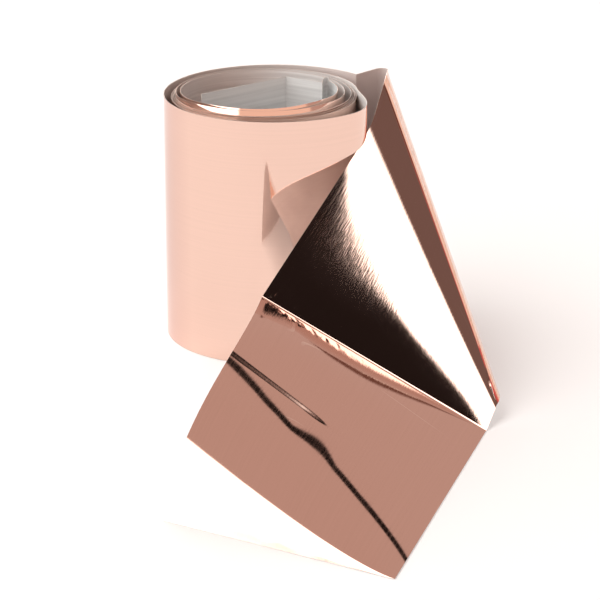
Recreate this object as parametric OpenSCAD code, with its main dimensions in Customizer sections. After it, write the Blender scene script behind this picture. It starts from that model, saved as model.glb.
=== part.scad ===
// Copper foil tape roll: one laminated strip, wound loosely without a core and stood on
// its edge, with its outer end folded over and laid down in front of the coil.
// Millimetres, +Z up. The origin is on the coil's axis, in the plane the coil stands on.

/* [Strip] */
// Width of the strip, which is the height of the coil
strip_w = 50; // [44:1:54]
// Thickness of the copper foil
foil_t = 0.04; // [0.03:0.01:0.05]
// Thickness of the adhesive film
adhesive_t = 0.02; // [0.01:0.01:0.03]
// Thickness of the silver release backing
backing_t = 0.04; // [0.03:0.01:0.05]

/* [Coil] */
// Radius of the outer turn
outer_r = 22; // [21.8:0.1:22.4]
// Radius of the second turn
second_r = 18.8; // [18.7:0.1:19]
// Radius of the sixth turn
sixth_r = 17.6; // [17.5:0.1:17.7]
// Radius of the innermost turn
inner_r = 15.8; // [15.6:0.1:16]
// Direction in which the tail leaves the coil, in degrees from +X
start_angle = 40; // [36:1:44]
// Flats in one full turn
turn_steps = 60; // [36:12:72]

/* [Folds] */
// Free gap kept beside each fold line that can move
fold_gap = 0.4; // [0.35:0.05:0.6]
// Radius of the soft bend in the lead-out
bend_r = 1.4; // [1:0.1:2]
// Flats along the curled end flap
flap_steps = 14; // [8:1:20]

/* [Hidden] */

COPPER = [0.90, 0.68, 0.58];
GLUE = [0.93, 0.90, 0.82];
SILVER = [0.70, 0.72, 0.72];

// Each layer as [inner face, outer face], measured from the laminate's middle towards the copper
half_t = (foil_t + adhesive_t + backing_t) / 2;
BACKING = [-half_t, -half_t + backing_t];
ADHESIVE = [BACKING[1], BACKING[1] + adhesive_t];
FOIL = [ADHESIVE[1], half_t];

function mix(a, b, t) = a + (b - a) * t;
function clamp01(t) = min(1, max(0, t));
function ease(t) = let (c = clamp01(t)) c * c * (3 - 2 * c);
function unit(v) = v / norm(v);
function left_of(v) = [-v[1], v[0]];
function at_height(p, z) = [p[0], p[1], z];

// ---- Coil plan ----
// A place on the spiral is counted in turns from the tail. It runs inwards, and
// anticlockwise seen from above, so the copper is on the right of the way it runs.
second_centre = [-1.9, 1.3];
sixth_centre = [-2.1, 1.5];
inner_centre = [-2.9, 2.4];
sixth_place = 5.4;   // up to here the turns lie close together
inner_place = 6.5;   // from here the innermost turn stands free of them
pinch_start = 0.765; // where the outer turn starts to curl in towards the second
pinch_end = 0.92;
turn_gap = 0.002;    // gap, in turns, between one turn's end and the next one's start

// Distance from the axis, in direction a, of a circle of radius r about c
function circle_reach(c, r, a) =
    let (along = c[0] * cos(a) + c[1] * sin(a), across = c[0] * sin(a) - c[1] * cos(a))
    along + sqrt(r * r - across * across);

// The turns grow smaller and drift off centre as they run inwards
function drift(place, second, sixth, inner) =
    place < sixth_place
        ? mix(second, sixth, (place - 1) / (sixth_place - 1))
        : mix(sixth, inner, clamp01((place - sixth_place) / (inner_place - sixth_place)));

function bundle_reach(place, a) = circle_reach(
    drift(place, second_centre, sixth_centre, inner_centre),
    drift(place, second_r, sixth_r, inner_r), a);

function spiral_point(place) =
    let (a = start_angle + 360 * place,
         pinch = ease((place - pinch_start) / (pinch_end - pinch_start)),
         r = mix(outer_r, bundle_reach(place, a), pinch))
    r * [cos(a), sin(a)];

function turn_plan(number) =
    let (from = number - 1 + turn_gap, to = number - turn_gap)
    [for (i = [0:turn_steps]) spiral_point(mix(from, to, i / turn_steps))];

// ---- Inner end ----
// Past the innermost turn the strip kinks back on itself in a small hook, then crosses
// the coil as two flats with a crease between them.
HOOK_PLAN = [[11.2, 9.5], [10.9, 10], [10.2, 9.6], [9.8, 6.0]];
panel_start = HOOK_PLAN[3];
panel_crease = [2.5, 10.5];
inner_tip = [-14.4, -2.8];

// ---- Corners of the folded tail ----
crease_a = outer_r * [cos(start_angle), sin(start_angle)];
bend_corner = [22.8, 20.6];                        // where the lead-out's two flats would meet
fold_top = [23.1, 14.7, strip_w];                  // diagonal fold, at the strip's upper edge
fold_bottom = [43.1, -49.2, 0.07 * strip_w];       // and at its lower edge
lean_point = [19.1, -9.1, 0.89 * strip_w];         // where the folded strip leans on the coil
crease_left = [-1.8, -52.5, strip_w / 2];          // cross crease, at the strip's upper edge
crease_right = [40.2, -57, half_t];                // and at its lower edge
flap_right = [21, -122, half_t];                   // end of the strip, both corners on the table
flap_left = [-18.7, -98, half_t];
flap_pull_a = [-5.2, -83, 0.52 * strip_w];         // the flap's curled edge is pulled towards these
flap_pull_b = [-15, -105.5, 0.45 * strip_w];

// ---- Upright layers, drawn from a plan ----
function plan_normal(plan, i) =
    let (before = plan[max(0, i - 1)], after = plan[min(len(plan) - 1, i + 1)],
         arriving = i > 0 ? unit(plan[i] - before) : unit(after - plan[i]),
         leaving = i < len(plan) - 1 ? unit(after - plan[i]) : arriving,
         normal = -left_of(unit(arriving + leaving)))
    normal / (normal * -left_of(arriving));

function plan_side(plan, offset) =
    [for (i = [0:len(plan) - 1]) plan[i] + offset * plan_normal(plan, i)];

function reversed(list) = [for (i = [len(list) - 1:-1:0]) list[i]];

module upright_layer(plan, faces) {
    linear_extrude(height = strip_w)
        polygon(concat(plan_side(plan, faces[1]), reversed(plan_side(plan, faces[0]))));
}

// A plan of two points, cut short by a gap at each end
function cut_short(a, b, gap_a, gap_b) = [a + gap_a * unit(b - a), b - gap_b * unit(b - a)];

// ---- Slanted layers, swept over rulings ----
// A ruling is [lower point, upper point]. The copper is on the left of the way the list runs.
function wall_ruling(p) = [at_height(p, 0), at_height(p, strip_w)];

function ruling_normal(rulings, i, end) =
    let (last = len(rulings) - 1,
         arriving = i > 0 ? unit(rulings[i][end] - rulings[i - 1][end]) : [0, 0, 0],
         leaving = i < last ? unit(rulings[i + 1][end] - rulings[i][end]) : [0, 0, 0])
    unit(cross(rulings[i][1] - rulings[i][0], arriving + leaving));

function ruling_side(rulings, end, offset) =
    [for (i = [0:len(rulings) - 1]) rulings[i][end] + offset * ruling_normal(rulings, i, end)];

module ruled_layer(rulings, faces) {
    n = len(rulings);
    points = concat(
        ruling_side(rulings, 0, faces[0]), ruling_side(rulings, 1, faces[0]),
        ruling_side(rulings, 1, faces[1]), ruling_side(rulings, 0, faces[1]));
    // Both faces of the layer are split along the same diagonals, so they stay parallel
    skin = [
        for (side = [0:3], i = [0:n - 2], half = [0:1])
            let (a = side * n + i, b = (side + 1) % 4 * n + i)
            side == 2
                ? (half == 0 ? [a, a + 1, b] : [a + 1, b + 1, b])
                : (half == 0 ? [a, a + 1, b + 1] : [a, b + 1, b])
    ];
    ends = [
        [0, n, 2 * n], [0, 2 * n, 3 * n],
        [n - 1, 4 * n - 1, 3 * n - 1], [n - 1, 3 * n - 1, 2 * n - 1]
    ];
    polyhedron(points, concat(skin, ends));
}

// A ruling moved a little way towards the next one, along both edges of the strip
function towards(ruling, next, gap) = [
    ruling[0] + gap * unit(next[0] - ruling[0]),
    ruling[1] + gap * unit(next[1] - ruling[1])
];

// The lead-out is two upright flats with a soft bend between them
bend_flats = 8;
lead_in = unit(bend_corner - crease_a);
lead_on = unit([fold_bottom[0], fold_bottom[1]] - bend_corner);
bend_turn = acos(lead_in * lead_on);
bend_centre = bend_corner - bend_r * tan(bend_turn / 2) * lead_in - bend_r * left_of(lead_in);
DIAGONAL = [fold_bottom, fold_top];
LEAD_BEND = [
    for (i = [0:bend_flats])
        let (a = bend_turn * i / bend_flats)
        wall_ruling(bend_centre + bend_r * (left_of(lead_in) * cos(a) + lead_in * sin(a)))
];
LEAD_RULINGS = concat(
    [wall_ruling(crease_a + fold_gap * lead_in)],
    LEAD_BEND,
    [towards(DIAGONAL, LEAD_BEND[bend_flats], 2 * fold_gap)]);

// The folded panel bends softly where it leans on the coil
CROSS_CREASE = [crease_right, crease_left];
LEAN = [mix(fold_bottom, crease_right, 0.3), lean_point];
FOLD_RULINGS = [
    towards(DIAGONAL, LEAN, 2 * fold_gap),
    [mix(fold_bottom, crease_right, 0.2), mix(fold_top, lean_point, 0.93)],
    [mix(fold_bottom, crease_right, 0.4), mix(lean_point, crease_left, 0.03)],
    towards(CROSS_CREASE, LEAN, fold_gap)
];

// The end flap curls down to the table along its left edge
function bezier(a, b, c, d, t) =
    pow(1 - t, 3) * a + 3 * pow(1 - t, 2) * t * b + 3 * (1 - t) * t * t * c + pow(t, 3) * d;
function flap_ruling(t) = [
    mix(crease_right, flap_right, 1 - pow(1 - t, 2)),
    bezier(crease_left, flap_pull_a, flap_pull_b, flap_left, t)
];
FLAP_RULINGS = concat(
    [towards(CROSS_CREASE, flap_ruling(0.1), fold_gap)],
    [for (i = [1:flap_steps]) flap_ruling(i / flap_steps)]);

// ---- Sub-parts of the coil ----
module turn_backing(number) { color(SILVER) upright_layer(turn_plan(number), BACKING); }
module turn_adhesive(number) { color(GLUE) upright_layer(turn_plan(number), ADHESIVE); }
module turn_foil(number) { color(COPPER) upright_layer(turn_plan(number), FOIL); }

module inner_hook_backing() { color(SILVER) upright_layer(HOOK_PLAN, BACKING); }
module inner_hook_adhesive() { color(GLUE) upright_layer(HOOK_PLAN, ADHESIVE); }
module inner_hook_foil() { color(COPPER) upright_layer(HOOK_PLAN, FOIL); }

PANEL_PLAN = cut_short(panel_start, panel_crease, fold_gap, fold_gap);
module inner_panel_backing() { color(SILVER) upright_layer(PANEL_PLAN, BACKING); }
module inner_panel_adhesive() { color(GLUE) upright_layer(PANEL_PLAN, ADHESIVE); }
module inner_panel_foil() { color(COPPER) upright_layer(PANEL_PLAN, FOIL); }

END_PLAN = cut_short(panel_crease, inner_tip, fold_gap, 0);
module inner_end_backing() { color(SILVER) upright_layer(END_PLAN, BACKING); }
module inner_end_adhesive() { color(GLUE) upright_layer(END_PLAN, ADHESIVE); }
module inner_end_foil() { color(COPPER) upright_layer(END_PLAN, FOIL); }

// ---- Sub-parts of the tail ----
module lead_out_backing() { color(SILVER) ruled_layer(LEAD_RULINGS, BACKING); }
module lead_out_adhesive() { color(GLUE) ruled_layer(LEAD_RULINGS, ADHESIVE); }
module lead_out_foil() { color(COPPER) ruled_layer(LEAD_RULINGS, FOIL); }

module fold_panel_backing() { color(SILVER) ruled_layer(FOLD_RULINGS, BACKING); }
module fold_panel_adhesive() { color(GLUE) ruled_layer(FOLD_RULINGS, ADHESIVE); }
module fold_panel_foil() { color(COPPER) ruled_layer(FOLD_RULINGS, FOIL); }

module end_flap_backing() { color(SILVER) ruled_layer(FLAP_RULINGS, BACKING); }
module end_flap_adhesive() { color(GLUE) ruled_layer(FLAP_RULINGS, ADHESIVE); }
module end_flap_foil() { color(COPPER) ruled_layer(FLAP_RULINGS, FOIL); }

turn_backing(1);  // outer_turn_backing
turn_adhesive(1);  // outer_turn_adhesive
turn_foil(1);  // outer_turn_foil
turn_backing(2);  // second_turn_backing
turn_adhesive(2);  // second_turn_adhesive
turn_foil(2);  // second_turn_foil
turn_backing(3);  // third_turn_backing
turn_adhesive(3);  // third_turn_adhesive
turn_foil(3);  // third_turn_foil
turn_backing(4);  // fourth_turn_backing
turn_adhesive(4);  // fourth_turn_adhesive
turn_foil(4);  // fourth_turn_foil
turn_backing(5);  // fifth_turn_backing
turn_adhesive(5);  // fifth_turn_adhesive
turn_foil(5);  // fifth_turn_foil
turn_backing(6);  // sixth_turn_backing
turn_adhesive(6);  // sixth_turn_adhesive
turn_foil(6);  // sixth_turn_foil
turn_backing(7);  // innermost_turn_backing
turn_adhesive(7);  // innermost_turn_adhesive
turn_foil(7);  // innermost_turn_foil
inner_hook_backing();
inner_hook_adhesive();
inner_hook_foil();
inner_panel_backing();
inner_panel_adhesive();
inner_panel_foil();
inner_end_backing();
inner_end_adhesive();
inner_end_foil();
lead_out_backing();
lead_out_adhesive();
lead_out_foil();
fold_panel_backing();
fold_panel_adhesive();
fold_panel_foil();
end_flap_backing();
end_flap_adhesive();
end_flap_foil();
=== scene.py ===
"""Copper foil tape roll: the looks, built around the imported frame. Metres, +Z up."""

import math

import bpy
import numpy as np
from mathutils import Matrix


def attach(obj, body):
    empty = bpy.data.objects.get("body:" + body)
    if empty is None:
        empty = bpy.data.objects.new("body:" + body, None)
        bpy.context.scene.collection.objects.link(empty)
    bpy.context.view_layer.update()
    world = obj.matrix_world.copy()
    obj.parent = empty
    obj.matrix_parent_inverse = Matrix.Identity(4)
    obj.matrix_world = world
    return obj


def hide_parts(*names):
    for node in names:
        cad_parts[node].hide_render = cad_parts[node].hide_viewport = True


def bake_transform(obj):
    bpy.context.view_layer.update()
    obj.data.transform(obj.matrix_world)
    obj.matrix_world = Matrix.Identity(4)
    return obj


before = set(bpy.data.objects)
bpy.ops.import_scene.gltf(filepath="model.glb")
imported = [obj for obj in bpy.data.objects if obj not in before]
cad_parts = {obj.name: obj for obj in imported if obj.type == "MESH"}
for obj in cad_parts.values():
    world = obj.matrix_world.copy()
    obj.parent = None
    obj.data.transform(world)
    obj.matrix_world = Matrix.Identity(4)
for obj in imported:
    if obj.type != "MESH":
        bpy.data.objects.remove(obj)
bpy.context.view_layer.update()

# ---- Sizes, in metres, the same as the CAD part's ----
WIDTH = 0.050          # of the strip, which is the height of the coil
OUTER_R = 0.022
SECOND_R, SECOND_CENTRE = 0.0188, (-0.0019, 0.0013)
SIXTH_R, SIXTH_CENTRE = 0.0176, (-0.0021, 0.0015)
INNER_R, INNER_CENTRE = 0.0158, (-0.0029, 0.0024)
SIXTH_PLACE, INNER_PLACE = 5.4, 6.5
PINCH_START, PINCH_END = 0.765, 0.92
START_ANGLE = math.radians(40)
TURNS = 7

# Each layer's slot, and its inner and outer face, measured from the strip's middle towards the copper
LAYERS = {
    "backing": ("silver_backing", -0.00005, -0.00001),
    "adhesive": ("adhesive", -0.00001, 0.00001),
    "foil": ("copper_foil", 0.00001, 0.00005),
}

BEND_CORNER = np.array((0.0228, 0.0206))     # where the upright wall turns to the front
BEND_R = 0.0014
FOLD_TOP = np.array((0.0231, 0.0147, 0.050))
FOLD_BOTTOM = np.array((0.0431, -0.0492, 0.0035))
LEAN_POINT = np.array((0.0191, -0.0091, 0.0445))
CREASE_LEFT = np.array((-0.0018, -0.0525, 0.025))
CREASE_RIGHT = np.array((0.0402, -0.0570, 0.00005))
FLAP_RIGHT = np.array((0.0210, -0.1220, 0.00005))
FLAP_LEFT = np.array((-0.0187, -0.0980, 0.00005))
FLAP_PULL_A = np.array((-0.0052, -0.0830, 0.0260))
FLAP_PULL_B = np.array((-0.0150, -0.1055, 0.0225))

# The strip's inner end: the hook's curve, then the crease between the two flats, and the tip
HOOK_PULL_A = np.array((0.0110, 0.0106))
HOOK_PULL_B = np.array((0.0098, 0.0100))
HOOK_END = np.array((0.0098, 0.0060))
PANEL_CREASE = np.array((0.0025, 0.0105))
INNER_TIP = np.array((-0.0144, -0.0028))

# ---- Where the surface is finer than the CAD part's ----
STEPS_A_TURN = 240
COIL_ROWS = 17
INNER_ROWS = 9
TAIL_ROWS = 129

INNER_RAISE, RAISED_FROM, RAISED_BY = 0.0005, 4.4, 5.2     # the inner turns stand a little proud
SUNK, SUNK_FROM, SUNK_BY = 0.0008, 0.9, 1.6                # the turns inside the outer one sit a little lower
SUNK_RETURN, RETURN_FROM, RETURN_BY = 0.6, 2.0, 4.4        # and further in, less so
UNEVEN = ((0.00016, 0.83, 1), (0.00008, 2.3, 0))           # waves of the rims: height, waves a turn, phase
LEAN_IN, LEAN_DEPTH = 0.0012, 0.006                        # the innermost rims lean in at the front
LEAN_FROM, LEAN_BY = 5.0, 5.5
FRONT_FROM, FRONT_BY = 0.1, 0.8                            # how far a ray points to the front there

FOLD_SOFT_TOP, FOLD_SOFT_BOTTOM = 0.0016, 0.0024     # how far back the diagonal fold starts to round
FOLD_AIM_LOW, FOLD_AIM_HIGH = 0.2, 0.93      # how far along the strip's two edges its outer side points
ROUNDING = 0.3           # how far it is let out, so that the rounded fold still reaches the CAD's edge
LEAN_SOFT = 0.008        # how far back the upper edge starts to bend where the strip leans on the coil
LEAN_LOWER = (0.15, 0.3, 0.45)     # the same bend at the lower edge, as parts of that edge
CREASE_SOFT = 0.0003

PANEL_BOW, PANEL_DOME, PANEL_SKEW = 0.00015, 0.0005, -0.0002
CRINKLE, CRINKLE_REACH, CRINKLE_START = 0.000025, 0.002, 0.0008
# The crinkles by the cross crease: their size across, their slant and their phase
CRINKLES = ((0.0031, 0.011, 0.1), (0.0019, -0.007, 0.4), (0.0047, 0.019, 0.7),
            (0.0013, 0.004, 0.2), (0.0083, -0.005, 0.9), (0.0026, 0.003, 0.6))

FLAP_DOME, FLAP_ROLL = -0.0002, 0.00015
LENS_TILT = math.radians(7)     # the flap rises from the cross crease in a narrow lens
LENS_REACH, LENS_LEAN, LENS_FADE = 0.012, 0.7, 0.030
FAINT_PLACE, FAINT_WIDTH, FAINT_FADE = 0.0318, 0.0022, 0.012     # a faint second crease, over the left half
FAINT_SLOPE, FAINT_STEEPENING = 0.07, 5.0

FALL_LIGHT = 0.25        # the flap's falling end is shaded no steeper than this
ROUND_OFF = 9            # columns beyond the fold that still round off towards it


# ---- Small helpers ----
def mix(a, b, t):
    return a + (b - a) * t


def smooth(x, low, high):
    t = np.clip((x - low) / (high - low), 0, 1)
    return t * t * (3 - 2 * t)


def unit(v):
    return v / np.linalg.norm(v, axis=-1, keepdims=True)


def bezier(points, t):
    """A Bezier curve of any degree, at the values t."""
    points = [np.asarray(p, float) for p in points]
    t = np.asarray(t)[..., None]
    while len(points) > 1:
        points = [mix(a, b, t) for a, b in zip(points, points[1:])]
    return points[0]


def steps(count, first=0, last=None):
    """Even steps from 0 to 1 along the strip, or those from first to just before last."""
    return np.linspace(0, 1, count)[first:last, None, None]


# ---- Coil plan: places are counted in turns from the tail, inwards and anticlockwise ----
def drift(place, second, sixth, inner):
    """A radius or centre, as it changes from the second turn to the sixth and on to the innermost."""
    place = np.asarray(place)[:, None] if np.ndim(second) else place
    early = mix(np.asarray(second), np.asarray(sixth), (place - 1) / (SIXTH_PLACE - 1))
    t = np.clip((place - SIXTH_PLACE) / (INNER_PLACE - SIXTH_PLACE), 0, 1)
    late = mix(np.asarray(sixth), np.asarray(inner), t)
    return np.where(place < SIXTH_PLACE, early, late)


def spiral(place):
    place = np.asarray(place, float)
    a = START_ANGLE + 2 * math.pi * place
    ray = np.stack([np.cos(a), np.sin(a)], -1)
    c = drift(place, SECOND_CENTRE, SIXTH_CENTRE, INNER_CENTRE)
    r = drift(place, SECOND_R, SIXTH_R, INNER_R)
    across = c[:, 0] * ray[:, 1] - c[:, 1] * ray[:, 0]
    reach = (c * ray).sum(1) + np.sqrt(r * r - across * across)
    pinch = smooth(place, PINCH_START, PINCH_END)
    return mix(OUTER_R, reach, pinch)[:, None] * ray


# ---- Sheets: a grid of points, columns along the strip (outwards) and rows across it ----
def ruled(lower, upper, rows):
    v = np.linspace(0, 1, rows)[None, :, None]
    return mix(lower[:, None, :], upper[:, None, :], v)


def upright(plan, rows, low=0.0, high=WIDTH):
    low = np.broadcast_to(low, len(plan))
    high = np.broadcast_to(high, len(plan))
    return ruled(np.column_stack([plan, low]), np.column_stack([plan, high]), rows)


def rounded(before, corner, after, t):
    """Columns that round a corner, from one column to another."""
    return (1 - t) ** 2 * before + 2 * t * (1 - t) * corner + t ** 2 * after


def lengths(grid):
    """How far along the strip each column of a grid lies, along its middle row."""
    step = np.linalg.norm(np.diff(grid[:, grid.shape[1] // 2], axis=0), axis=1)
    return np.concatenate([[0], np.cumsum(step)])


def normals(grid):
    """The copper side's direction at each point of a grid."""
    along = np.gradient(grid, lengths(grid), axis=0)
    across = np.gradient(grid, axis=1)
    return unit(np.cross(across, along))


# ---- Materials ----
STRIP_MAP = "strip"      # the map that holds metres along and across the strip


class Graph:
    """The node tree of a material or a world, with short calls for the nodes used here."""

    def __init__(self, owner):
        owner.use_nodes = True
        self.nodes = owner.node_tree.nodes
        self.links = owner.node_tree.links

    def put(self, value, socket):
        """Puts a node's output, a number or a few numbers into a socket. A colour has three numbers."""
        if isinstance(value, bpy.types.NodeSocket):
            self.links.new(value, socket)
        elif isinstance(value, tuple) and len(socket.default_value) > len(value):
            socket.default_value = (*value, 1)
        else:
            socket.default_value = value

    def maths(self, operation, *values, kind="ShaderNodeMath", result="Value"):
        node = self.nodes.new(kind)
        node.operation = operation
        for value, socket in zip(values, node.inputs):
            self.put(value, socket)
        return node.outputs[result]

    def vectors(self, operation, *values, result="Vector"):
        return self.maths(operation, *values, kind="ShaderNodeVectorMath", result=result)

    def both(self, a, b):
        return self.maths("MULTIPLY", a, b)

    def ramp(self, value, low, high, to_low=0.0, to_high=1.0, kind="LINEAR"):
        node = self.nodes.new("ShaderNodeMapRange")
        node.interpolation_type = kind
        for name, number in (("Value", value), ("From Min", low), ("From Max", high),
                             ("To Min", to_low), ("To Max", to_high)):
            self.put(number, node.inputs[name])
        return node.outputs["Result"]

    def lay(self, under, over, where):
        """One colour laid over another. A colour is three numbers, or the output of a node."""
        node = self.nodes.new("ShaderNodeMix")
        node.data_type = "RGBA"
        self.put(where, node.inputs["Factor"])
        self.put(under, node.inputs[6])
        self.put(over, node.inputs[7])
        return node.outputs[2]


class Material(Graph):
    """A material made from noise over the strip's map and over the object."""

    def __init__(self, name, **values):
        self.mat = bpy.data.materials.new(name)
        super().__init__(self.mat)
        self.shader = self.nodes["Principled BSDF"]
        strip = self.nodes.new("ShaderNodeUVMap")
        strip.uv_map = STRIP_MAP
        self.strip = strip.outputs["UV"]
        self.place = self.nodes.new("ShaderNodeTexCoord").outputs["Object"]
        for socket, value in values.items():
            self.shader.inputs[socket].default_value = value

    def noise(self, where, scale, detail=2.0):
        """Noise over a place stretched by scale, three numbers in cells a metre."""
        node = self.nodes.new("ShaderNodeTexNoise")
        node.inputs["Scale"].default_value = 1.0
        node.inputs["Detail"].default_value = detail
        self.links.new(self.vectors("MULTIPLY", where, scale), node.inputs["Vector"])
        return node.outputs["Fac"]

    def tint(self, value, colours, low=0.3, high=0.7):
        """A colour between two, by a value that is mostly from low to high."""
        return self.lay(*colours, self.ramp(value, low, high))

    def along(self, start, end):
        """0 before a length along the strip and 1 past another."""
        node = self.nodes.new("ShaderNodeSeparateXYZ")
        self.links.new(self.strip, node.inputs["Vector"])
        return self.ramp(node.outputs["X"], start, end)

    def patch(self, centre, reach):
        """1 at a spot on the strip, falling to 0 at its reach along and across."""
        apart = self.vectors("SUBTRACT", self.strip, (*centre, 0))
        scaled = self.vectors("DIVIDE", apart, (*reach, 1))
        return self.ramp(self.vectors("LENGTH", scaled, result="Value"), 0.3, 1.0, 1.0, 0.0)

    def scratches(self, where, scale, width):
        """Thin curved lines, a few cells of scale apart, with most of each line missing."""
        lines = self.maths("COMPARE", self.noise(where, scale, detail=0), 0.5, width)
        shown = self.ramp(self.noise(where, tuple(1.7 * s for s in scale), detail=1), 0.52, 0.60)
        return self.both(lines, shown)

    def relief(self, *heights):
        """A surface direction from heights laid over each other, each with its depth in metres."""
        under = None
        for height, depth in heights:
            node = self.nodes.new("ShaderNodeBump")
            node.inputs["Strength"].default_value = 1.0
            node.inputs["Distance"].default_value = depth
            self.links.new(height, node.inputs["Height"])
            if under is not None:
                self.links.new(under, node.inputs["Normal"])
            under = node.outputs["Normal"]
        return under

    def finished(self, colour, roughness, normal):
        for name, output in (("Base Color", colour), ("Roughness", roughness), ("Normal", normal)):
            self.links.new(output, self.shader.inputs[name])
        return self.mat


# Pairs of colours that each finish varies between, and two pairs that are painted shade: the darker copper
# and the warmer silver
BRIGHT_COPPER = ((0.83, 0.585, 0.495), (0.81, 0.57, 0.48))
SHADED_COPPER = ((0.66, 0.42, 0.36), (0.69, 0.44, 0.38))
SCRATCHED_COPPER = ((0.92, 0.72, 0.63), (0.94, 0.75, 0.66))
CLEAN_SILVER = ((0.66, 0.67, 0.67), (0.80, 0.81, 0.81))
SHADED_SILVER = ((0.66, 0.59, 0.57), (0.73, 0.66, 0.64))
GLUE = ((0.80, 0.70, 0.55), (0.90, 0.82, 0.70))

# Patches on the strip: the place along and across it, and the reach both ways
SCUFF_PATCH = (0.8755, 0.038), (0.010, 0.014)        # a brushed patch on the leaning panel
BRUSHED_PATCH = (0.885, 0.030), (0.035, 0.050)       # and its softer surroundings
# Painted shade: the next patch darkens the copper over the coil's left side, as shade would.
LEFT_SHADE_PLACE, LEFT_SHADE_REACH = (-0.054, 0.020), (0.016, 0.160)     # the coil's left side, from the coil's end


def foil_material(coil_end):
    m = Material("copper_foil", Metallic=1.0)
    grain = m.noise(m.strip, (500, 3000, 1), detail=3)       # short strokes along the strip
    rolling = m.noise(m.strip, (25, 2600, 1), detail=2)      # long lines along the strip
    ripple = m.noise(m.place, (160, 160, 160), detail=1)
    cloud = m.noise(m.place, (60, 60, 60), detail=2)
    scuff = m.patch(*SCUFF_PATCH)
    left_shade = m.patch((coil_end + LEFT_SHADE_PLACE[0], LEFT_SHADE_PLACE[1]), LEFT_SHADE_REACH)
    # The copper is darkened by painted shade over the coil's left side.
    copper_and_left_shade = m.lay(m.tint(rolling, BRIGHT_COPPER), m.tint(cloud, SHADED_COPPER), left_shade)
    scratched = m.both(m.along(coil_end, coil_end + 0.02), m.scratches(m.strip, (55, 35, 1), 0.003))
    normal = m.relief((ripple, 0.000012), (rolling, 0.0000004), (grain, 0.0000004),
                      (m.both(grain, m.patch(*BRUSHED_PATCH)), 0.000005), (m.both(grain, scuff), 0.000020))
    roughness = m.maths("ADD", m.ramp(rolling, 0.3, 0.7, 0.03, 0.07), m.ramp(scuff, 0, 1, 0, 0.06))
    return m.finished(m.lay(copper_and_left_shade, m.tint(cloud, SCRATCHED_COPPER), scratched), roughness, normal)


def backing_material(coil_end):
    m = Material("silver_backing", Metallic=0.4)
    rolling = m.noise(m.strip, (30, 1800, 1), detail=3)
    cloud = m.noise(m.place, (90, 90, 90), detail=2)
    # Painted shade: past the coil's end the backing is made warmer and darker, as the shade the tail lies in
    # makes it look.
    tail_shade = m.along(coil_end - 0.02, coil_end)     # the tail is warmer and duller
    normal = m.relief((m.noise(m.place, (150, 150, 150), detail=1), 0.000006), (rolling, 0.0000008))
    return m.finished(m.lay(m.tint(rolling, CLEAN_SILVER), m.tint(cloud, SHADED_SILVER), tail_shade),
                      m.ramp(rolling, 0.3, 0.7, 0.38, 0.50), normal)


def adhesive_material():
    m = Material("adhesive")
    cloud = m.noise(m.strip, (400, 400, 1), detail=2)
    return m.finished(m.tint(cloud, GLUE), m.ramp(cloud, 0.3, 0.7, 0.25, 0.4), m.relief((cloud, 0.000004)))


# ---- Stretches: three thin closed solids, one for each layer ----
def layer_mesh(name, grid, normal, inner, outer, first_length):
    """A closed thin solid between two offsets of a grid, with smooth faces and sharp edges."""
    n, m = grid.shape[:2]
    low = (grid + normal * inner).reshape(-1, 3)
    high = (grid + normal * outer).reshape(-1, 3)
    k = np.arange(n * m).reshape(n, m)
    a, b, c, d = (q.ravel() for q in (k[:-1, :-1], k[1:, :-1], k[1:, 1:], k[:-1, 1:]))
    top = n * m
    skin_in = np.column_stack([a, b, c, d])
    skin_out = np.column_stack([d, c, b, a]) + top
    loop = np.concatenate([k[:, 0], k[-1, 1:], k[-2::-1, -1], k[0, -2:0:-1]])
    nxt = np.roll(loop, -1)
    rim = np.column_stack([nxt, loop, loop + top, nxt + top])
    faces = np.concatenate([skin_in, skin_out, rim])
    mesh = bpy.data.meshes.new(name)
    mesh.from_pydata(np.concatenate([low, high]).tolist(), [], faces.tolist())
    mesh.update()
    mesh.polygons.foreach_set("use_smooth", np.ones(len(faces), bool))
    corner = np.empty((len(faces) * 4, 3))
    flat = normal.reshape(-1, 3)
    count = len(skin_in) * 4
    corner[:count] = -flat[skin_in.ravel()]
    corner[count:2 * count] = flat[skin_out.ravel() - top]
    corner[2 * count:] = np.repeat(
        [mesh.polygons[i].normal[:] for i in range(2 * len(skin_in), len(faces))], 4, axis=0)
    mesh.normals_split_custom_set(corner.tolist())
    on_strip = np.empty((n, m, 2))
    on_strip[..., 0] = first_length + lengths(grid)[:, None]
    on_strip[..., 1] = np.linspace(0, WIDTH, m)
    strip_map = mesh.uv_layers.new(name=STRIP_MAP)
    strip_map.data.foreach_set("uv", on_strip.reshape(-1, 2)[faces.ravel() % top].ravel())
    piece = bpy.data.objects.new(name, mesh)
    bpy.context.scene.collection.objects.link(piece)
    return piece


def stretch(name, grid, normal, place, node=None, first_length=0.0):
    """The three layers of one stretch of the strip. place(piece) puts a layer on its body, or bakes it where
    it stands.
    """
    for layer, (slot, inner, outer) in LAYERS.items():
        piece = layer_mesh(f"{name}_{layer}_skin", grid, normal, inner, outer, first_length)
        piece.data.materials.append(MATERIALS[layer])
        place(piece)
        if node:
            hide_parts(f"{node}_{layer}")


def riding(body):
    return lambda piece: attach(piece, body)


def blending(start, end):
    start, end = tuple(map(float, start)), tuple(map(float, end))
    return lambda piece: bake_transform(piece)


def blending_over(columns, axis):
    """Works out a fold's two ends across its axis, with both its edges left whole, and leaves the piece baked
    where it stands.
    """
    axis = unit(axis)
    first, last = columns[0], columns[-1]
    over = (last - first).mean(0)
    over = unit(over - (over @ axis) * axis)
    origin = columns.mean((0, 1))
    start, end = ((first - origin) @ over).max(), ((last - origin) @ over).min()
    return blending(origin + start * over, origin + end * over)


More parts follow.
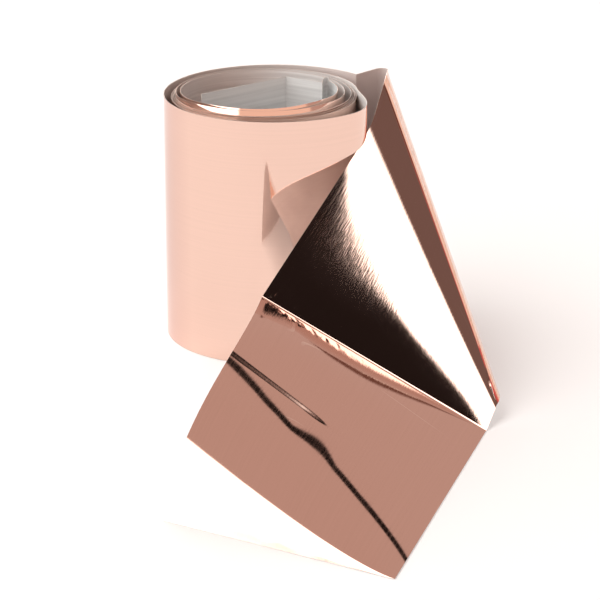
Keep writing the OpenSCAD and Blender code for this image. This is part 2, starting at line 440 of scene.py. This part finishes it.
# ---- The coil ----
def coil_grid():
    """The whole coil, from the innermost turn to the tail, with rims that are a little uneven."""
    places = np.linspace(TURNS, 0, TURNS * STEPS_A_TURN + 1)
    plan = spiral(places)
    inside = smooth(places, SUNK_FROM, SUNK_BY)
    raised = INNER_RAISE * smooth(places, RAISED_FROM, RAISED_BY)
    sunk = SUNK * inside * (1 - SUNK_RETURN * smooth(places, RETURN_FROM, RETURN_BY))
    uneven = sum(height * (1 + np.sin(2 * math.pi * places * waves + phase))
                 for height, waves, phase in UNEVEN)
    grid = upright(plan, COIL_ROWS, raised, WIDTH + raised - sunk - uneven * inside)
    ray = unit(plan)
    facing = smooth(-ray[:, 1], FRONT_FROM, FRONT_BY) * smooth(places, LEAN_FROM, LEAN_BY)
    leaning = np.clip((grid[..., 2] - grid[:, -1:, 2]) / LEAN_DEPTH + 1, 0, 1) ** 2
    grid[..., :2] -= (LEAN_IN * facing[:, None] * leaning)[..., None] * ray[:, None]
    return grid


coil = coil_grid()
coil_normal = normals(coil)
coil_length = lengths(coil)
MATERIALS = {
    "foil": foil_material(coil_length[-1]),
    "backing": backing_material(coil_length[-1]),
    "adhesive": adhesive_material(),
}


def coil_stretch(name, first, last, place, node=None):
    """The part of the coil between two places."""
    pick = slice(round((TURNS - last) * STEPS_A_TURN), round((TURNS - first) * STEPS_A_TURN) + 1)
    stretch(name, coil[pick], coil_normal[pick], place, node, coil_length[pick.start])


def coil_point(place):
    return (*spiral([place])[0], WIDTH / 2)


LAST_STEP = 1 / STEPS_A_TURN      # the coil's last step belongs to the upright crease
RAMP = 0.15     # turns on each side of the place where one body's turns lead into the next's
RAMP_OUT, RAMP_IN = 1, 4
TURN_NAMES = ("outer", "second", "third", "fourth", "fifth", "sixth", "innermost")
TURN_BODIES = ("outer_turn",) + ("middle_turns",) * 3 + ("inner_turns",) * 3
for i, (turn_name, body) in enumerate(zip(TURN_NAMES, TURN_BODIES)):
    first = i + (RAMP if i in (RAMP_OUT, RAMP_IN) else 0) + (LAST_STEP if i == 0 else 0)
    last = i + 1 - (RAMP if i + 1 in (RAMP_OUT, RAMP_IN) else 0)
    coil_stretch(f"{turn_name}_turn", first, last, riding(body), f"{turn_name}_turn")
for name, middle, a, b in (
    ("outer_ramp", RAMP_OUT, "outer_turn", "middle_turns"),
    ("inner_ramp", RAMP_IN, "middle_turns", "inner_turns"),
):
    coil_stretch(name, middle - RAMP, middle + RAMP,
                 blending(coil_point(middle - RAMP), coil_point(middle + RAMP)))

# ---- The inner end: a small hook and two flats across the coil ----
for name, body, plan in (
    ("inner_hook", "inner_turns",
     bezier([spiral([TURNS])[0], HOOK_PULL_A, HOOK_PULL_B, HOOK_END], np.linspace(1, 0, 25))),
    ("inner_panel", "inner_panel", mix(PANEL_CREASE, HOOK_END, np.linspace(0, 1, 17)[:, None])),
    ("inner_end", "inner_end", mix(INNER_TIP, PANEL_CREASE, np.linspace(0, 1, 33)[:, None])),
):
    grid = upright(plan, INNER_ROWS, INNER_RAISE, WIDTH + INNER_RAISE)
    stretch(name, grid, normals(grid), riding(body), name)

# ---- The tail: upright wall, diagonal fold, leaning panel, cross crease and end flap ----
up_rows = np.linspace(0, 1, TAIL_ROWS)[:, None]      # from the strip's lower edge to its upper one
across = up_rows.T
cross_crease = mix(CREASE_RIGHT, CREASE_LEFT, up_rows)

# The upright crease takes the coil's last step and as much of the wall
CREASE_STEPS = 6
crease_point = OUTER_R * np.array((math.cos(START_ANGLE), math.sin(START_ANGLE)))
crease_step = np.linalg.norm(spiral([LAST_STEP])[0] - crease_point)


def wall_columns():
    """The upright wall: the crease at the coil, a straight run and a rounded corner."""
    lead_in = unit(BEND_CORNER - crease_point)
    lead_on = unit(FOLD_BOTTOM[:2] - BEND_CORNER)
    turn = math.acos(lead_in @ lead_on)
    left = np.array((-lead_in[1], lead_in[0]))
    centre = BEND_CORNER - BEND_R * math.tan(turn / 2) * lead_in - BEND_R * left
    angle = np.linspace(0, turn, 25)[:, None]
    corner = centre + BEND_R * (left * np.cos(angle) + lead_in * np.sin(angle))
    run = mix(crease_point, corner[0], np.linspace(0.1, 1, 12, endpoint=False)[:, None])
    coil_side = spiral(np.linspace(LAST_STEP, 0, CREASE_STEPS, endpoint=False))
    wall_part = np.linspace(0, 1, CREASE_STEPS, endpoint=False)[:, None]
    wall_side = crease_point + crease_step * lead_in * wall_part
    return upright(np.concatenate([coil_side, wall_side, run, corner]), TAIL_ROWS)


def fold_columns(wall_end):
    """The flat from the wall to the diagonal fold, and the rounded fold."""
    diagonal = mix(FOLD_BOTTOM, FOLD_TOP, up_rows)
    aim_low = mix(FOLD_BOTTOM, CREASE_RIGHT, FOLD_AIM_LOW)
    aim_high = mix(FOLD_TOP, LEAN_POINT, FOLD_AIM_HIGH)
    panel_far = mix(aim_low, aim_high, up_rows)
    soft = mix(FOLD_SOFT_BOTTOM, FOLD_SOFT_TOP, up_rows)
    inwards = unit(unit(wall_end - diagonal) + unit(panel_far - diagonal))
    diagonal = diagonal - ROUNDING * soft * inwards
    fold_in = diagonal + soft * unit(wall_end - diagonal)
    fold_out = diagonal + soft * unit(panel_far - diagonal)
    return mix(wall_end, fold_in, steps(40, 1)), rounded(fold_in, diagonal, fold_out, steps(33, 1))


def lean_columns(fold_end):
    """The strip from the fold to where it leans on the coil, and its soft bend there."""
    upper = (LEAN_POINT + LEAN_SOFT * unit(FOLD_TOP - LEAN_POINT), LEAN_POINT,
             LEAN_POINT + LEAN_SOFT * unit(CREASE_LEFT - LEAN_POINT))
    lower = [mix(FOLD_BOTTOM, CREASE_RIGHT, part) for part in LEAN_LOWER]
    t = np.linspace(0, 1, 41)
    lean = ruled(bezier(lower, t), bezier(upper, t), TAIL_ROWS)
    return mix(fold_end, lean[0], steps(30, 1, -1)), lean


def panel_columns(lean_end):
    """The leaning panel: slightly domed, and crinkled by the crease, mostly towards its left end."""
    along = np.concatenate([np.linspace(0, 0.9, 60)[1:], np.linspace(0.9, 1, 41)[1:]])[:, None]
    panel_end = cross_crease + CREASE_SOFT * unit(lean_end - cross_crease)
    panel = mix(lean_end, panel_end, along[..., None])
    dome = 4 * along * (1 - along) * (PANEL_BOW * across + PANEL_DOME * 4 * across * (1 - across)
                                      + PANEL_SKEW * np.sin(2 * math.pi * across))
    to_crease = (1 - along) * lengths(panel)[-1]
    crinkle = sum(np.sin(2 * math.pi * (across * WIDTH / size + to_crease / slant + phase))
                  for size, slant, phase in CRINKLES)
    crinkle = (CRINKLE * crinkle * np.exp(-to_crease / CRINKLE_REACH) * smooth(across, 0.35, 0.9)
               * smooth(to_crease, 0, CRINKLE_START))
    return panel + (dome + crinkle)[..., None] * unit(normals(panel).mean((0, 1)))


def flap_columns():
    """The end flap: it rises from the crease in a narrow lens before it falls away."""
    t = np.concatenate([np.linspace(0.004, 0.15, 60), np.linspace(0.15, 0.3, 21)[1:],
                        np.linspace(0.3, 0.5, 101)[1:], np.linspace(0.5, 1, 60)[1:]])
    lower = mix(CREASE_RIGHT, FLAP_RIGHT, (1 - (1 - t) ** 2)[:, None])
    upper = bezier([CREASE_LEFT, FLAP_PULL_A, FLAP_PULL_B, FLAP_LEFT], t)
    flap = ruled(lower, upper, TAIL_ROWS)
    t = t[:, None]
    wave = (FLAP_DOME * 16 * across * (1 - across) * t * (1 - t)
            + FLAP_ROLL * np.sin(math.pi * across) * np.sin(2 * math.pi * t))
    from_crease = lengths(flap)[:, None]
    reach = LENS_REACH * np.sin(math.pi * np.clip(across, 0.02, 0.98) ** (1 / LENS_LEAN))
    rise = np.clip(from_crease / reach, 0, 1)
    lens = (math.tan(LENS_TILT) * reach * (rise - rise ** 2 / 2)
            * (1 - smooth(from_crease, 0.4 * LENS_FADE, LENS_FADE)))
    slope = (FAINT_SLOPE + FAINT_STEEPENING * (0.9 - across) * WIDTH) * smooth(across, 0.42, 0.65)
    faint = -slope * FAINT_WIDTH / 1.5 * smooth(from_crease, FAINT_PLACE - FAINT_WIDTH / 2,
                                                FAINT_PLACE + FAINT_WIDTH / 2)
    faint_end = FAINT_PLACE + FAINT_WIDTH
    faint = faint * (1 - smooth(from_crease, faint_end, faint_end + FAINT_FADE))
    return flap + (wave + lens + faint)[..., None] * normals(flap)


def tail_normals(tail, flap_start, bent, fold_count, lean_count):
    """The tail's shading. A bent foil faces one way along each ruling, from the fold to the lean."""
    normal = normals(tail)
    falling = normal[flap_start:]
    falling[..., 2] = np.maximum(falling[..., 2], FALL_LIGHT)
    normal[flap_start:] = unit(falling)
    even = unit(normal[bent, TAIL_ROWS // 3:].mean(1, keepdims=True))
    lean_start = len(even) - lean_count
    even[fold_count:lean_start] = even[lean_start]
    round_off = fold_count + ROUND_OFF
    turn = np.interp(np.arange(round_off), (0, fold_count, round_off), (0, 0.5, 1))
    even[:round_off] = unit(mix(even[0], even[lean_start], turn[:, None, None]))
    release = smooth(np.arange(len(even)), lean_start, len(even))[:, None, None]
    normal[bent] = unit(mix(even, normal[bent], release))
    return normal


# One run of columns from the coil to the strip's end, so that the pieces' shading meets
wall = wall_columns()
lead_flat, fold = fold_columns(wall[-1])
strip, lean = lean_columns(fold[-1])
panel = panel_columns(lean[-1])
flap = flap_columns()
crease = rounded(panel[-1], cross_crease, flap[0], steps(13, 1, -1))
tail = np.concatenate([wall, lead_flat, fold, strip, lean, panel, crease, flap])
crease_end = 2 * CREASE_STEPS
lead_end, fold_end, panel_end, flap_first = np.cumsum(
    [len(wall) + len(lead_flat), len(fold), len(strip) + len(lean) + len(panel), len(crease) + 1]) - 1
bent = slice(lead_end + 1, lead_end + 1 + len(fold) + len(strip) + len(lean))
tail_normal = tail_normals(tail, flap_first, bent, len(fold), len(lean))
tail_length = coil_length[-1] + lengths(tail) - crease_step
middle_row = tail[:, TAIL_ROWS // 2]
for name, first, last, place, node in (
    ("upright_crease", 0, crease_end,
     blending(middle_row[0], middle_row[crease_end]), None),
    ("lead_out", crease_end, lead_end, riding("lead_out"), "lead_out"),
    ("diagonal_fold", lead_end, fold_end,
     blending_over(tail[lead_end:fold_end + 1], FOLD_TOP - FOLD_BOTTOM), None),
    ("fold_panel", fold_end, panel_end, riding("fold_panel"), "fold_panel"),
    ("cross_crease", panel_end, flap_first,
     blending_over(tail[panel_end:flap_first + 1], CREASE_LEFT - CREASE_RIGHT),
     None),
    ("end_flap", flap_first, len(tail) - 1, riding("end_flap"), "end_flap"),
):
    stretch(name, tail[first:last + 1], tail_normal[first:last + 1], place, node, tail_length[first])

# ---- The floor ----
FLOOR, FLOOR_Z = 8.0, -0.0001      # half its side, and just under the part


def floor_material():
    mat = bpy.data.materials.new("pale_floor")
    mat.use_nodes = True
    for name, value in (("Base Color", (0.58, 0.58, 0.58, 1)), ("Roughness", 0.9),
                        ("Emission Color", (1, 1, 1, 1)), ("Emission Strength", 0.3)):
        mat.node_tree.nodes["Principled BSDF"].inputs[name].default_value = value
    return mat


floor_mesh = bpy.data.meshes.new("floor")
floor_mesh.from_pydata([(x * FLOOR, y * FLOOR, FLOOR_Z) for x, y in ((-1, -1), (1, -1), (1, 1), (-1, 1))],
                       [], [(0, 1, 2, 3)])
floor_mesh.materials.append(floor_material())
floor = bpy.data.objects.new("floor", floor_mesh)
bpy.context.scene.collection.objects.link(floor)


# ---- The light, which is also what the foil mirrors ----
class Studio(Graph):
    """The surroundings: flat zones of light and dark, each past a plane through the sky's sphere."""

    def __init__(self):
        world = bpy.data.worlds.new("studio")
        bpy.context.scene.world = world
        super().__init__(world)
        self.direction = self.nodes.new("ShaderNodeTexCoord").outputs["Generated"]

    def past(self, normal, level, soft):
        """0 short of the plane and 1 past it, with a soft edge."""
        normal = tuple(map(float, unit(np.array(normal, float))))
        dot = self.vectors("DOT_PRODUCT", self.direction, normal, result="Value")
        return self.ramp(dot, level - soft, level + soft, kind="SMOOTHSTEP")

    def below(self, height, soft):
        return self.past((0, 0, -1), -height, soft)


WARM_GREY = (0.59, 0.42, 0.37)
DARK_BROWN = (0.20, 0.13, 0.115)
BLACK = (0.017, 0.012, 0.011)
DARK_RED = (0.17, 0.07, 0.05)
RED = (0.80, 0.16, 0.15)
WARM_WHITE = (1.05, 0.78, 0.65)
SOFTBOX = (3.0, 2.9, 2.8)

GAP_NORMAL, GAP_LEVEL, GAP_HALF, GAP_SOFT = (0.70, -0.09, -0.71), -0.145, 0.014, 0.004


def sky_colour(studio):
    behind = studio.past((0, 1, 0), 0.5, 0.1)
    # Warm grey, with a softbox on the left
    sky = studio.lay(WARM_GREY, SOFTBOX, studio.past((-0.99, 0.14, 0.01), 0.23, 0.02))
    # A narrow dark gap behind, which the flap mirrors as its streak
    opposite = tuple(-n for n in GAP_NORMAL)
    gap = studio.both(studio.past(GAP_NORMAL, GAP_LEVEL - GAP_HALF, GAP_SOFT),
                      studio.past(opposite, -GAP_LEVEL - GAP_HALF, GAP_SOFT))
    sky = studio.lay(sky, BLACK, studio.both(gap, behind))
    # On the right a high softbox with shade under it, and the dark that the leaning panel mirrors
    shade = studio.lay(WARM_GREY, DARK_BROWN, studio.past((0, 1, 0), 0.25, 0.05))
    right = studio.lay(SOFTBOX, shade, studio.past((0.09, -0.35, -0.93), -0.628, 0.02))
    dark = studio.both(studio.past((-0.44, -0.86, 0.26), -0.242, 0.012), studio.past((0, 0, 1), 0.68, 0.03))
    right = studio.lay(right, BLACK, dark)
    sky = studio.lay(sky, right, studio.past((0.85, -0.44, -0.28), 0.055, 0.02))
    # Low down behind, red and dark red over a pale horizon
    horizon = studio.lay(DARK_RED, RED, studio.past((0.74, -0.67, 0), -0.04, 0.02))
    horizon = studio.lay(horizon, WARM_WHITE, studio.below(0.15, 0.006))
    sky = studio.lay(sky, horizon, studio.both(studio.below(0.26, 0.006), behind))
    # Low down behind and to the left, the light in the lens by the cross crease
    lens_light = studio.lay(DARK_RED, WARM_WHITE, studio.below(0.25, 0.01))
    beyond = studio.both(studio.below(0.29, 0.01), studio.past((-1, 0, 0), -0.45, 0.02))
    sky = studio.lay(sky, lens_light, studio.both(beyond, behind))
    # Low down in front, the pale floor's light
    front = studio.both(studio.past((0, -1, 0), 0.2, 0.05), studio.below(0.30, 0.02))
    return studio.lay(sky, WARM_WHITE, studio.both(front, studio.past((1, 0, 0), -0.5, 0.05)))


studio = Studio()
studio.links.new(sky_colour(studio), studio.nodes["Background"].inputs["Color"])

# ---- The camera, at the photo's angle ----
camera = bpy.data.cameras.new("camera")
camera.lens = 168
camera.sensor_width = 36
camera.clip_start = 0.01
camera_object = bpy.data.objects.new("camera", camera)
camera_object.location = (0.0053, -0.5435, 0.1983)
camera_object.rotation_euler = (math.radians(70.5), 0, 0)
bpy.context.scene.collection.objects.link(camera_object)
bpy.context.scene.camera = camera_object
bpy.context.scene.view_settings.view_transform = "Standard"
